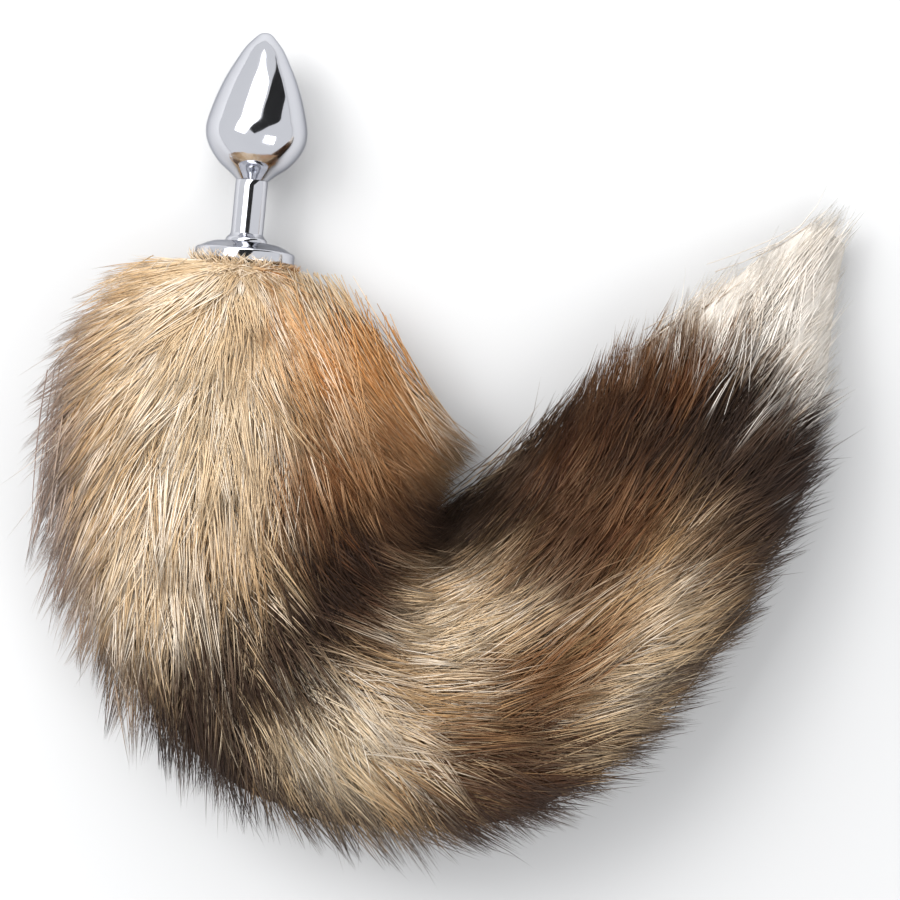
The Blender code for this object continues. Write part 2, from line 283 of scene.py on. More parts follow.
# The studio. Lights and the dark card stand off from what they face, so many degrees to the
# right and ahead of straight above it; long way is the plan direction of the longer side.
WORLD_COLOUR = (0.97, 0.98, 1.0, 1.0)
WORLD_STRENGTH = 0.95
FLOOR_ALBEDO = 0.54
FLOOR_HALF = 1.6
FLOOR_ROUGHNESS = 0.9
CARD_ALBEDO = 0.012
CARD_ROUGHNESS = 0.8
STUDIO_LIGHTS = (
    # name, size, watts, shows in metal, faces the bulb, distance, right, ahead, long way
    ("key", (0.6, 0.6), 9.0, False, False, 1.1, -48, 30, 90),
    ("fill", (0.5, 0.5), 3.5, True, False, 1.1, 36, -30, 90),
    ("strip", (0.36, 1.1), 3.6, True, True, 0.60, -17, 28, 63),
)
CARD_SIZE = (0.24, 1.12)
CARD_PLACE = (0.50, 29, 29, 45)  # distance, right, ahead, long way
COAT_MIDDLE = (0.0, 0.0, 0.02)


def linear(colour):
    """An 8-bit sRGB colour as linear RGBA."""
    shares = [part / 255 for part in colour]
    return [p / 12.92 if p <= 0.04045 else ((p + 0.055) / 1.055) ** 2.4 for p in shares] + [1.0]


class Socket:
    """An output socket that can be used in Python expressions; each one adds its nodes."""

    def __init__(self, tree, socket):
        self.tree = tree
        self.socket = socket
        self.is_vector = socket.type in ("VECTOR", "RGBA")

    def joined(self, operation, left, right):
        operands = (left, right)
        vectors = [isinstance(x, tuple) or getattr(x, "is_vector", False) for x in operands]
        if operation == "MULTIPLY" and any(vectors) and not all(vectors):
            vector, scale = (left, right) if vectors[0] else (right, left)
            settings = {"operation": "SCALE"}
            return self.tree.add("ShaderNodeVectorMath", settings, {0: vector, "Scale": scale})
        if any(vectors):
            plain = [(x,) * 3 if isinstance(x, (int, float)) else x for x in operands]
            return self.tree.add("ShaderNodeVectorMath", {"operation": operation}, dict(enumerate(plain)))
        return self.tree.add("ShaderNodeMath", {"operation": operation}, dict(enumerate(operands)))

    def __add__(self, other):
        return self.joined("ADD", self, other)

    __radd__ = __add__

    def __sub__(self, other):
        return self.joined("SUBTRACT", self, other)

    def __rsub__(self, other):
        return self.joined("SUBTRACT", other, self)

    def __mul__(self, other):
        return self.joined("MULTIPLY", self, other)

    __rmul__ = __mul__

    def __truediv__(self, other):
        return self.joined("DIVIDE", self, other)


class Tree:
    """A node tree with one method that makes any node."""

    def __init__(self, node_tree):
        self.tree = node_tree

    def add(self, kind, settings=None, sockets=None, output=0):
        """Adds a node: its settings first, then its inputs' values or links; gives an output."""
        node = self.tree.nodes.new(kind)
        for name, value in (settings or {}).items():
            setattr(node, name, value)
        for name, value in (sockets or {}).items():
            if isinstance(value, Socket):
                self.tree.links.new(value.socket, node.inputs[name])
            else:
                node.inputs[name].default_value = value
        return Socket(self, node.outputs[output])

    def mix(self, share, first, second):
        """Colour mix; first and second are linear colours or colour sockets."""
        node = self.tree.nodes.new("ShaderNodeMix")
        node.data_type = "RGBA"
        for index, value in ((0, share), (6, first), (7, second)):
            if isinstance(value, Socket):
                self.tree.links.new(value.socket, node.inputs[index])
            else:
                node.inputs[index].default_value = value
        return Socket(self, node.outputs[2])

    def smooth(self, value, low, high):
        """Nought at low, one at high, with a soft slope between; low may be above high."""
        settings = {"interpolation_type": "SMOOTHSTEP"}
        if low < high:
            return self.add("ShaderNodeMapRange", settings, {0: value, 1: low, 2: high})
        return self.add("ShaderNodeMapRange", settings, {0: value, 1: high, 2: low, 3: 1.0, 4: 0.0})


def new_material(name):
    """A new material with an empty tree, and its Principled shader's inputs."""
    material = bpy.data.materials.new(name)
    material.use_nodes = True
    tree = Tree(material.node_tree)
    shader = material.node_tree.nodes["Principled BSDF"]
    return material, tree, shader.inputs


def feed(tree, source, socket):
    tree.tree.links.new(source.socket, socket)


def coat_colour(tree, place, wander):
    """The coat's colour at a place whose X runs along the tail and Y across it."""
    along = tree.add("ShaderNodeSeparateXYZ", {}, {0: place}, output=0)
    across = tree.add("ShaderNodeSeparateXYZ", {}, {0: place}, output=1)
    colour = linear(TAN)
    for at, side, half_length, half_width, strength, paint in COAT_PATCHES:
        offset = (place - (at, side, 0.0)) * (1 / half_length, 1 / half_width, 0.0)
        away = tree.add("ShaderNodeVectorMath", {"operation": "LENGTH"}, {0: offset}, output=1)
        colour = tree.mix(tree.smooth(away, *PATCH_FADE) * strength, colour, linear(paint))
    edge = tree.smooth(wander * EDGE_WANDER - across, *DARK_EDGE)
    edge = edge * tree.smooth(along, DARK_EDGE_FROM, DARK_EDGE_FROM + DARK_EDGE_FADE)
    colour = tree.mix(edge * DARK_EDGE_STRENGTH, colour, linear(SABLE))
    tip = tree.smooth(along + wander * WHITE_WANDER, *WHITE_FROM)
    return tree.mix(tip, colour, linear(WHITE))


def toned(tree, colour, tone):
    """The colour of a paler or deeper hair: light hairs of a light coat are almost white."""
    gamma = DEEP_HAIR_GAMMA - (DEEP_HAIR_GAMMA - PALE_HAIR_GAMMA) * tone
    colour = tree.add("ShaderNodeGamma", {}, {"Color": colour, "Gamma": gamma})
    green = tree.add("ShaderNodeSeparateColor", {}, {"Color": colour}, output=1)
    silver = tree.smooth(tone, 0.55, 1.0) * tree.smooth(green, 0.15, 0.55) * SILVER_SHARE
    return tree.mix(silver, colour, linear(WHITE))


def fur_material():
    """Hair: each strand carries the coat's colours along it, and its own tone, darkened towards its root
    as painted shade.
    """
    material, tree, inputs = new_material("fox_hair")
    coat = tree.add("ShaderNodeAttribute", {"attribute_name": "coat"})
    place = tree.add("ShaderNodeAttribute", {"attribute_name": "place"}, output=1)
    tone = tree.add("ShaderNodeSeparateXYZ", {}, {0: place}, output=2)
    unit = tree.add("ShaderNodeAttribute", {"attribute_name": "unit"}, output=1)
    rise = tree.add("ShaderNodeSeparateXYZ", {}, {0: unit}, output=2)
    # Painted shade: each hair's colour falls to 0.8 of itself towards its root, standing in for the shade
    # deep in the coat.
    colour = toned(tree, coat, tone) * (0.80 + 0.20 * tree.smooth(rise, 0.1, 0.6))
    feed(tree, colour, inputs["Base Color"])
    inputs["Roughness"].default_value = 0.55
    inputs["Specular IOR Level"].default_value = 0.30
    return material


def undercoat_material():
    """Dense wool under the hair: streaks run with the coat over the piece's own map."""
    material, tree, inputs = new_material("fox_undercoat")
    coat = tree.add("ShaderNodeUVMap", {"uv_map": "coat"})
    along = tree.add("ShaderNodeSeparateXYZ", {}, {0: coat}, output=0)
    turn = tree.add("ShaderNodeSeparateXYZ", {}, {0: coat}, output=1)
    stretched = tree.add("ShaderNodeCombineXYZ", {}, {"X": along * 14.0, "Y": turn * 150.0})
    streaks = tree.add("ShaderNodeTexNoise", {}, {"Vector": stretched, "Scale": 1.0, "Detail": 6.0})
    across = tree.add("ShaderNodeMath", {"operation": "COSINE"}, {0: turn * (2 * math.pi)})
    place = tree.add("ShaderNodeCombineXYZ", {}, {"X": along, "Y": across * 0.8})
    tone = tree.smooth(streaks, 0.35, 0.65) * 0.6
    colour = toned(tree, coat_colour(tree, place, tone - 0.3), tone)
    feed(tree, colour * UNDERCOAT_SHADE, inputs["Base Color"])
    bump = tree.add("ShaderNodeBump", {}, {"Strength": 0.8, "Distance": 0.6 * MM, "Height": streaks})
    feed(tree, bump, inputs["Normal"])
    inputs["Roughness"].default_value = 0.9
    inputs["Specular IOR Level"].default_value = 0.15
    return material


def polished_metal():
    """Bright polished metal with faint turning marks and handling smudges."""
    material, tree, inputs = new_material("polished_metal")
    place = tree.add("ShaderNodeTexCoord", output="Object")
    smudges = tree.add("ShaderNodeTexNoise", {}, {"Vector": place, "Scale": 90.0, "Detail": 4.0})
    turned_way = tree.add("ShaderNodeMapping", {}, {"Vector": place, "Scale": (40.0, 9000.0, 40.0)})
    marks = tree.add("ShaderNodeTexNoise", {}, {"Vector": turned_way, "Scale": 1.0, "Detail": 2.0})
    clean, handled = METAL_ROUGHNESS
    rough = tree.add("ShaderNodeMapRange", {}, {0: smudges, 1: 0.35, 2: 0.75, 3: clean, 4: handled})
    feed(tree, rough + marks * 0.02, inputs["Roughness"])
    tint = tree.mix(smudges, linear(CLEAN_METAL), linear(HANDLED_METAL))
    feed(tree, tint, inputs["Base Color"])
    bump = tree.add("ShaderNodeBump", {}, {"Strength": 0.05, "Distance": 0.02 * MM, "Height": marks})
    feed(tree, bump, inputs["Normal"])
    inputs["Metallic"].default_value = 1.0
    inputs["Specular Tint"].default_value = METAL_EDGE
    return material


def pin_metal():
    """Plain turned steel of the hidden pin."""
    material, tree, inputs = new_material("pin_metal")
    place = tree.add("ShaderNodeTexCoord", output="Object")
    turned_way = tree.add("ShaderNodeMapping", {}, {"Vector": place, "Scale": (60.0, 6000.0, 60.0)})
    marks = tree.add("ShaderNodeTexNoise", {}, {"Vector": turned_way, "Scale": 1.0, "Detail": 3.0})
    feed(tree, marks * 0.25 + 0.25, inputs["Roughness"])
    feed(tree, tree.mix(marks, linear(PIN_BRIGHT), linear(PIN_DULL)), inputs["Base Color"])
    inputs["Metallic"].default_value = 1.0
    return material


def plain_material(name, albedo, roughness):
    material, _, inputs = new_material(name)
    inputs["Base Color"].default_value = (albedo, albedo, albedo, 1.0)
    inputs["Roughness"].default_value = roughness
    return material


def read_table(rows, column, along):
    """The column's value at a share along the rows, on a smooth curve through them."""
    last = len(rows) - 1
    along = min(max(along, rows[0][0]), rows[last][0])
    index = 0
    while index < last - 1 and along > rows[index + 1][0]:
        index += 1
    start, end = rows[index], rows[index + 1]
    before, after = rows[max(index - 1, 0)], rows[min(index + 2, last)]
    span = end[0] - start[0]
    leaving = (end[column] - before[column]) / (end[0] - before[0]) * span
    arriving = (after[column] - start[column]) / (after[0] - start[0]) * span
    t = (along - start[0]) / span
    return (
        (2 * t**3 - 3 * t**2 + 1) * start[column]
        + (t**3 - 2 * t**2 + t) * leaving
        + (3 * t**2 - 2 * t**3) * end[column]
        + (t**3 - t**2) * arriving
    )


class Tail:
    """The tail's envelope in the frame, read at whole arrays of places at once: along it as a
    share of its length, and across it from 1 at the inner edge to -1 at the outer one."""

    SAMPLES = 1001
    REACH = 1.06

    def __init__(self, root):
        """root is the middle of the flange's underside."""
        self.at = np.linspace(0.0, self.REACH, self.SAMPLES)
        self.root = np.array(root)

        def column(rows, index):
            return np.array([read_table(rows, index, along) for along in self.at])

        self.heading = np.radians(column(TAIL_SECTIONS, HEADING))
        self.ahead = np.stack([np.cos(self.heading), np.sin(self.heading)], 1)
        self.inward = np.stack([-np.sin(self.heading), np.cos(self.heading)], 1)
        pitch = TAIL_LENGTH * self.REACH / (self.SAMPLES - 1)
        self.curvature = np.gradient(self.heading, pitch)
        steps = (self.ahead[1:] + self.ahead[:-1]) / 2 * pitch
        start = np.array([root[0], root[1] - CLEARANCE])
        self.centre = start + np.concatenate([np.zeros((1, 2)), np.cumsum(steps, 0)])
        rounded = np.maximum(1 - self.at / ROUND_ROOT_SHARE, 0)
        self.inner = TAIL_WIDTH / 2 * column(TAIL_SECTIONS, INNER)
        self.outer = TAIL_WIDTH / 2 * column(TAIL_SECTIONS, OUTER)
        self.top = TAIL_HEIGHT * column(TAIL_SECTIONS, HEIGHT)
        self.middle = rounded * root[2] + (1 - rounded) * WIDEST_SHARE * self.top
        self.bottom = rounded * (root[2] - TAIL_ROOT_DIAMETER / 2)
        self.inner_edge = column(COAT_EDGES, 1)
        self.outer_edge = column(COAT_EDGES, 2)
        self.splay = [
            np.radians(column(COAT_SPLAY, index))
            for index in (SPLAY_OUTER, SPLAY_MIDDLE, SPLAY_INNER)
        ]

    def read(self, values, along):
        if values.ndim == 1:
            return np.interp(along, self.at, values)
        return np.stack([np.interp(along, self.at, part) for part in values.T], -1)

    def reach(self, along, across):
        return np.where(across > 0, self.read(self.inner, along), self.read(self.outer, along))

    def plan(self, along, across):
        """Points in plan."""
        aside = self.reach(along, across) * across
        return self.read(self.centre, along) + self.read(self.inward, along) * aside[:, None]

    def moved(self, along, across, step):
        """The places a step in plan away, found in a few short moves."""
        for _ in range(4):
            reach = self.reach(along, across)
            turning = self.read(self.curvature, along) * reach * across
            ahead = (self.read(self.ahead, along) * step).sum(1) / 4
            aside = (self.read(self.inward, along) * step).sum(1) / 4
            along = along + ahead / TAIL_LENGTH / np.maximum(1 - turning, 0.35)
            across = across + aside / reach
        return along, across

    def height(self, along, across, side, share):
        """Height at a share of the way from the middle to the envelope, over it or under it."""
        middle = self.read(self.middle, along)
        inner, outer = (self.read(edge, along) for edge in (self.inner_edge, self.outer_edge))
        edgeward = np.clip(across / np.where(across > 0, inner, outer), -1, 1)
        dome = np.sqrt(1 - edgeward**2)
        rise = np.where(
            side > 0, self.read(self.top, along) - middle, self.read(self.bottom, along) - middle
        )
        return middle + rise * dome * share

    def hair_heading(self, along, across):
        """Where hair at a place points, in radians: fanned from the root, then with the tail."""
        outer, middle, inner = (self.read(splay, along) for splay in self.splay)
        side = np.clip(across, -1, 1)
        splay = middle + np.where(side > 0, (inner - middle) * side, (middle - outer) * side)
        flowing = self.read(self.heading, along) - splay
        away = self.plan(along, across) - self.root[:2]
        fanned = np.arctan2(away[:, 1], away[:, 0])
        turn = np.angle(np.exp(1j * (flowing - fanned)))
        fan_end = FAN_END + FAN_END_INNER * np.clip(across, 0, 1)
        return fanned + turn * np.clip((along - fan_end) / FAN_FADE, 0, 1)


def finish_piece(obj, node):
    """Rides with the root and hides the CAD part that the finished piece replaces."""
    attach(obj, "root")
    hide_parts(node)
    return obj


def link_object(name, mesh):
    obj = bpy.data.objects.new(name, mesh)
    bpy.context.scene.collection.objects.link(obj)
    return obj


def arc(centre, radius, start_degrees, end_degrees, steps):
    """Points of an arc as (radius, y) pairs, both ends included."""
    turns = np.radians(np.linspace(start_degrees, end_degrees, steps + 1))
    return [(centre[0] + radius * math.cos(t), centre[1] + radius * math.sin(t)) for t in turns]


def plug_profile():
    """(radius, y) pairs from the bulb's tip to the flange's blind hole, y from the underside."""
    neck = NECK_DIAMETER / 2
    rim = FLANGE_DIAMETER / 2
    foot = neck + FOOT_RING_WIDTH
    land = foot + SEAT_LAND_WIDTH
    seat = FLANGE_THICKNESS
    bulb_foot = seat + NECK_LENGTH
    tip = bulb_foot + BULB_LENGTH
    points = [(0.0, tip)]
    points += arc((0.0, tip - TIP_RADIUS), TIP_RADIUS, 85, TIP_ROUND_END, 9)
    tip_end = (1 - math.sin(math.radians(TIP_ROUND_END))) * TIP_RADIUS / BULB_LENGTH
    tip_side = math.cos(math.radians(TIP_ROUND_END)) * TIP_RADIUS / (BULB_DIAMETER / 2)
    rows = [(tip_end, tip_side), *BULB_SECTIONS, (1.0, neck * 2 / BULB_DIAMETER)]
    for along in np.linspace(tip_end, 1.0, 70)[1:]:
        radius = read_table(rows, 1, along) * BULB_DIAMETER / 2
        points.append((radius, tip - along * BULB_LENGTH))
    points += [(neck - SEAM_DEPTH, bulb_foot - SEAM_DEPTH), (neck, bulb_foot - 3 * SEAM_DEPTH)]
    for share in np.linspace(0.1, 0.9, 9):
        points.append((neck, bulb_foot + share * (seat + FOOT_RING_HEIGHT - bulb_foot)))
    points += arc((neck, seat + FOOT_RING_HEIGHT / 2), FOOT_RING_WIDTH, 60, 0, 8)
    points += [(foot, seat)]
    points += [(foot + (land - foot) * share, seat) for share in (0.05, 0.5, 1.0)]
    for share in np.linspace(0.1, 0.95, 9):
        radius = land + (rim - FLANGE_RIM_ROUND - land) * share
        points.append((radius, seat - FLANGE_DOME * share**1.5))
    round_top = seat - FLANGE_DOME - FLANGE_RIM_ROUND
    points += arc((rim - FLANGE_RIM_ROUND, round_top), FLANGE_RIM_ROUND, 75, 0, 8)
    points += arc((rim - FLANGE_RIM_ROUND, FLANGE_RIM_ROUND), FLANGE_RIM_ROUND, 0, -90, 8)
    hole = POST_DIAMETER / 2 + CLEARANCE
    depth = POST_IN_FLANGE + CLEARANCE
    points += [(hole, 0.0), (hole, depth), (0.0, depth)]
    return points


def build_plug(root, metal):
    """Bulb, neck and flange turned in one about the plug's axis."""
    edit = bmesh.new()
    rings = []
    for radius, y in plug_profile():
        sides = LATHE_SIDES if radius > 1e-7 else 1
        turns = [2 * math.pi * (side + 0.5) / LATHE_SIDES for side in range(sides)]
        rings.append(
            [
                edit.verts.new(
                    (
                        root[0] + radius * math.cos(turn),
                        root[1] + y,
                        root[2] + radius * math.sin(turn),
                    )
                )
                for turn in turns
            ]
        )
    for ring, following in zip(rings, rings[1:]):
        for side in range(LATHE_SIDES):
            beside = (side + 1) % LATHE_SIDES
            corners = [ring[side % len(ring)], ring[beside % len(ring)]]
            corners += [following[beside % len(following)], following[side % len(following)]]
            edit.faces.new(list(dict.fromkeys(corners)))
    bmesh.ops.recalc_face_normals(edit, faces=edit.faces)
    mesh = bpy.data.meshes.new("metal_plug")
    edit.to_mesh(mesh)
    edit.free()
    mesh.materials.append(metal)
    mesh.shade_smooth()
    mesh.set_sharp_from_angle(angle=math.radians(28))
    return finish_piece(link_object("metal_plug", mesh), "plug")


def undercoat_ring(tail, along):
    """The undercoat's section: round where it meets the flange, then a flat-bottomed dome."""
    turns = np.linspace(0, 2 * math.pi, UNDERCOAT_SIDES, endpoint=False)
    where = np.full(UNDERCOAT_SIDES, along)
    rounded = max(1 - along / ROUND_ROOT_SHARE, 0.0)
    fine, fine_count = FINE_FURROWS
    broad, broad_count = BROAD_FURROWS
    furrow = fine * np.sin(turns * fine_count + 3 * np.sin(along * 21))
    furrow += broad * np.sin(turns * broad_count + along * 47)
    share = rounded * 0.96 + (1 - rounded) * (UNDERCOAT_SHARE + furrow)
    edge = np.where(
        np.cos(turns) > 0, tail.read(tail.inner_edge, where), tail.read(tail.outer_edge, where)
    )
    reach = tail.reach(where, np.cos(turns)) * edge * np.cos(turns) * share
    round_reach = np.clip(reach, -TAIL_ROOT_DIAMETER / 2, TAIL_ROOT_DIAMETER / 2)
    reach = rounded * round_reach + (1 - rounded) * reach
    plan = tail.read(tail.centre, where) + tail.read(tail.inward, where) * reach[:, None]
    middle = tail.read(tail.middle, where)
    over = np.sin(turns) > 0
    rise = np.where(over, tail.read(tail.top, where), tail.read(tail.bottom, where)) - middle
    heights = middle + rise * np.abs(np.sin(turns)) * share
    return np.concatenate([plan, np.maximum(heights, HAIR_ON_FLOOR)[:, None]], 1)


def build_undercoat(tail, wool):
    """The dense coat under the hair: a closed body whose surface is furrowed along the tail."""
    steps = [step / (UNDERCOAT_RINGS - 1) for step in range(UNDERCOAT_RINGS)]
    shares = [UNDERCOAT_END * step**1.1 for step in steps]
    edit = bmesh.new()
    rings = [[edit.verts.new(corner) for corner in undercoat_ring(tail, at)] for at in shares]
    coat = edit.loops.layers.uv.new("coat")
    for index, (ring, following) in enumerate(zip(rings, rings[1:])):
        for side in range(UNDERCOAT_SIDES):
            beside = (side + 1) % UNDERCOAT_SIDES
            face = edit.faces.new((ring[side], ring[beside], following[beside], following[side]))
            spots = ((index, side), (index, side + 1), (index + 1, side + 1), (index + 1, side))
            for loop, (row, column) in zip(face.loops, spots):
                loop[coat].uv = (shares[row], column / UNDERCOAT_SIDES)
    for ring, at in ((rings[0][::-1], shares[0]), (rings[-1], shares[-1])):
        face = edit.faces.new(ring)
        for loop in face.loops:
            loop[coat].uv = (at, 0.25)
    bmesh.ops.recalc_face_normals(edit, faces=edit.faces)
    mesh = bpy.data.meshes.new("fur_undercoat")
    edit.to_mesh(mesh)
    edit.free()
    mesh.materials.append(wool)
    mesh.shade_smooth()
    return finish_piece(link_object("fur_undercoat", mesh), "tail_fur")


def drift(along, across, seed):
    """A slow wander over the coat, between about -1 and 1."""
    return (
        np.sin(along * 23 + seed) * np.cos(across * 4.3 + seed * 1.7)
        + 0.6 * np.sin(along * 51 + across * 6.1 + seed * 2.9)
        + 0.4 * np.cos(along * 87 - across * 9.3 + seed)
    ) / 2


def lay_wisps(tail, chance):
    """Where each wisp ends on the coat, and how its hairs hold together."""
    girth = tail.inner + tail.outer + tail.top
    shares = np.cumsum(girth) / girth.sum()
    spots = (np.arange(WISPS) + chance.uniform(0, 1, WISPS)) / WISPS
    along = np.interp(spots, shares, tail.at) * (COAT_END / Tail.REACH)
    low = chance.uniform(0, 1, WISPS) < HAIR_UNDERNEATH
    turn = chance.uniform(0, math.pi, WISPS)
    sideways = math.pi * np.round(turn / math.pi) + LOW_HAIR_ARC * np.sin(turn * 9)
    across = np.cos(np.where(low, sideways, turn))
    edge = np.where(
        across > 0, tail.read(tail.inner_edge, along), tail.read(tail.outer_edge, along)
    )
    return {
        "along": along,
        "across": across * edge * chance.uniform(*RAGGED_EDGE, WISPS),
        "side": np.where(low, -1.0, 1.0),
        "tone": chance.uniform(0, 1, WISPS),
        "loose": chance.uniform(*WISP_LOOSENESS, WISPS),
        "share": chance.uniform(*WISP_RISE, WISPS),
        "length": chance.uniform(*WISP_LENGTH, WISPS),
        "lean": chance.normal(0, WISP_TURN, WISPS),
        "stray": chance.normal(0, 1, WISPS),
    }


def comb_hair(tail, count, chance):
    """Control points and places of every hair: arrays of root, bend and point."""
    wisps = lay_wisps(tail, chance)
    wisp = chance.integers(0, WISPS, count)
    along, across, side, tone, loose, share, length, lean, stray = (
        wisps[key][wisp] for key in wisps
    )
    free = chance.uniform(0, 1, count) < FREE_HAIRS
    loose = np.where(free, FREE_SPREAD, loose)
    spread = chance.normal(0, WISP_SPREAD, (count, 2))
    calm = np.clip(along / 0.2, 0.15, 1)
    heading = tail.hair_heading(along, across)
    heading = heading + (lean + DRIFT_TURN * drift(along, across, 1.3)) * calm
    heading = heading + chance.normal(0, HAIR_TURN, count) * np.where(free, FREE_TURN, 1.0)
    curve = HAIR_CURVE * np.sign(0.25 - across) * np.clip((along - FAN_END) / FAN_FADE, 0, 1)
    curve = np.radians(curve * (1 + 0.4 * chance.normal(0, 1, count)) + chance.normal(0, 4, count))
    tip = tail.plan(along, across)
    away = np.linalg.norm(tip - tail.root[:2], axis=1)
    length = HAIR_LENGTH * length * chance.uniform(0.85, 1.12, count)
    length = length * np.interp(along, [0, 0.7, 0.9, 1.0], [1.0, 1.0, 0.9, 0.75])
    near_root = along < NEAR_ROOT
    length = np.where(near_root, np.minimum(length, away * 0.92), length)

    def stepped(distance, turn):
        angle = heading + turn
        return -np.stack([np.cos(angle), np.sin(angle)], 1) * distance[:, None]

    spread = spread * np.minimum(away / ROOT_HOLD, 1.0)[:, None]
    to_bend = stepped(length * 0.5, -curve * 0.3)
    to_root = to_bend + stepped(length * 0.5, curve)
    steps = {
        "point": spread * loose[:, None],
        "bend": to_bend + spread * HAIR_BEND_SPREAD,
        "root": to_root + spread * HAIR_ROOT_SPREAD,
    }
    heights = {"point": share, "bend": share * HAIR_BEND_RISE, "root": share * HAIR_ROOT_DEPTH}
    tone = WISP_TONE * tone + (1 - WISP_TONE) * chance.uniform(0, 1, count)
    tone = (tone - 0.5) * TONE_CONTRAST + 0.5 + TONE_DRIFT * drift(along, across, 4.1)
    tone = np.clip(tone, 0, 1)
    stray_along = PAINT_WANDER * (0.75 * stray + 0.5 * chance.normal(0, 1, count))
    stray_across = 0.05 * chance.normal(0, 1, count)
    strands = {"width": STRAND_WIDTH * chance.uniform(0.7, 1.15, count)}
    for key, step in steps.items():
        at, aside = tail.moved(along, across, step)
        at = np.clip(at, 0.0, Tail.REACH)
        z = tail.height(at, aside, side, heights[key])
        z = np.maximum(z, HAIR_ON_FLOOR + chance.uniform(0, 1.2 * MM, count))
        plan = tip + step
        under_flange = tail.root[1] - chance.uniform(0.4, 2.0, count) * MM
        behind = np.minimum(plan[:, 1], under_flange)
        plan[:, 1] = np.where(near_root, behind, plan[:, 1])
        strands[key] = np.concatenate([plan, z[:, None]], 1)
        place = [np.maximum(at + stray_along, 0.0), aside + stray_across, tone]
        strands[key + "_place"] = np.stack(place, 1)
    return strands


def strand_tree(material):
    """Geometry Nodes: a slim closed cone on each point, bent from its root to its own point."""
    tree = bpy.data.node_groups.new("strands", "GeometryNodeTree")
    face = tree.interface
    face.new_socket("Geometry", in_out="INPUT", socket_type="NodeSocketGeometry")
    for name, kind, value in (
        ("Sides", "NodeSocketInt", 3),
        ("Segments", "NodeSocketInt", 4),
        ("Root Thickness", "NodeSocketFloat", 0.6),
        ("Cells Across", "NodeSocketFloat", 100.0),
    ):
        face.new_socket(name, in_out="INPUT", socket_type=kind).default_value = value
    face.new_socket("Geometry", in_out="OUTPUT", socket_type="NodeSocketGeometry")
    make = Tree(tree)
    given = tree.nodes.new("NodeGroupInput")
    points, sides, segments, thickness, cells = (Socket(make, given.outputs[i]) for i in range(5))

    def named(name, kind="FLOAT_VECTOR"):
        return make.add("GeometryNodeInputNamedAttribute", {"data_type": kind}, {"Name": name})

    cone = make.add(
        "GeometryNodeMeshCone",
        {"fill_type": "NGON"},
        {
            "Vertices": sides,
            "Side Segments": segments,
            "Radius Top": 0.0,
            "Radius Bottom": 1.0,
            "Depth": 1.0,
        },
    )
    marked = make.add(
        "GeometryNodeStoreNamedAttribute",
        {"data_type": "FLOAT_VECTOR", "domain": "POINT"},
        {"Geometry": cone, "Name": "unit", "Value": make.add("GeometryNodeInputPosition")},
    )
    copies = make.add("GeometryNodeInstanceOnPoints", {}, {"Points": points, "Instance": marked})
    real = make.add("GeometryNodeRealizeInstances", {}, {"Geometry": copies})
    unit = named("unit")
    x, y, t = (make.add("ShaderNodeSeparateXYZ", {}, {0: unit}, output=axis) for axis in range(3))

    def between(first, second, third):
        return first * ((1 - t) * (1 - t)) + second * (2 * t * (1 - t)) + third * (t * t)

    root, bend, point = named("root"), named("bend"), named("point")
    middle = between(root, bend, point)
    ahead = make.add("ShaderNodeVectorMath", {"operation": "NORMALIZE"}, {0: point - root})
    up = (0.0, 0.0, 1.0)
    side = make.add("ShaderNodeVectorMath", {"operation": "CROSS_PRODUCT"}, {0: ahead, 1: up})
    side = make.add("ShaderNodeVectorMath", {"operation": "NORMALIZE"}, {0: side})
    lift = make.add("ShaderNodeVectorMath", {"operation": "CROSS_PRODUCT"}, {0: side, 1: ahead})
    swell = (thickness + 1.5 * t) * named("width", "FLOAT")
    placed = middle + (side * x + lift * y) * swell
    bent = make.add("GeometryNodeSetPosition", {}, {"Geometry": real, "Position": placed})
    cell = make.add("GeometryNodeInputNamedAttribute", {"data_type": "INT"}, {"Name": "cell"})
    column = make.add("ShaderNodeMath", {"operation": "MODULO"}, {0: cell, 1: cells})
    row = make.add("ShaderNodeMath", {"operation": "FLOOR"}, {0: cell / cells})
    at = make.add(
        "ShaderNodeCombineXYZ",
        {},
        {"X": (column + 0.5 + 0.35 * x) / cells, "Y": (row + 0.15 + 0.7 * t) / cells, "Z": 0.0},
    )
    mapped = make.add(
        "GeometryNodeStoreNamedAttribute",
        {"data_type": "FLOAT2", "domain": "CORNER"},
        {"Geometry": bent, "Name": "OFBake", "Value": at},
    )
    place = between(named("root_place"), named("bend_place"), named("point_place"))
    painted = make.add(
        "GeometryNodeStoreNamedAttribute",
        {"data_type": "FLOAT_VECTOR", "domain": "POINT"},
        {"Geometry": mapped, "Name": "place", "Value": place},
    )
    tone = make.add("ShaderNodeSeparateXYZ", {}, {0: place}, output=2)
    painted = make.add(
        "GeometryNodeStoreNamedAttribute",
        {"data_type": "FLOAT_COLOR", "domain": "POINT"},
        {"Geometry": painted, "Name": "coat", "Value": coat_colour(make, place, tone * 2.0 - 1.0)},
    )
    smooth = make.add("GeometryNodeSetShadeSmooth", {}, {"Geometry": painted})
    dressed = make.add("GeometryNodeSetMaterial", {}, {"Geometry": smooth, "Material": material})
    out = tree.nodes.new("NodeGroupOutput")
    tree.links.new(dressed.socket, out.inputs[0])
    return tree


def set_inputs(modifier, values):
    """Sets the modifier's named inputs by their sockets' identifiers."""
    for item in modifier.node_group.interface.items_tree:
        if item.item_type == "SOCKET" and item.in_out == "INPUT" and item.name in values:
            modifier[item.identifier] = values[item.name]


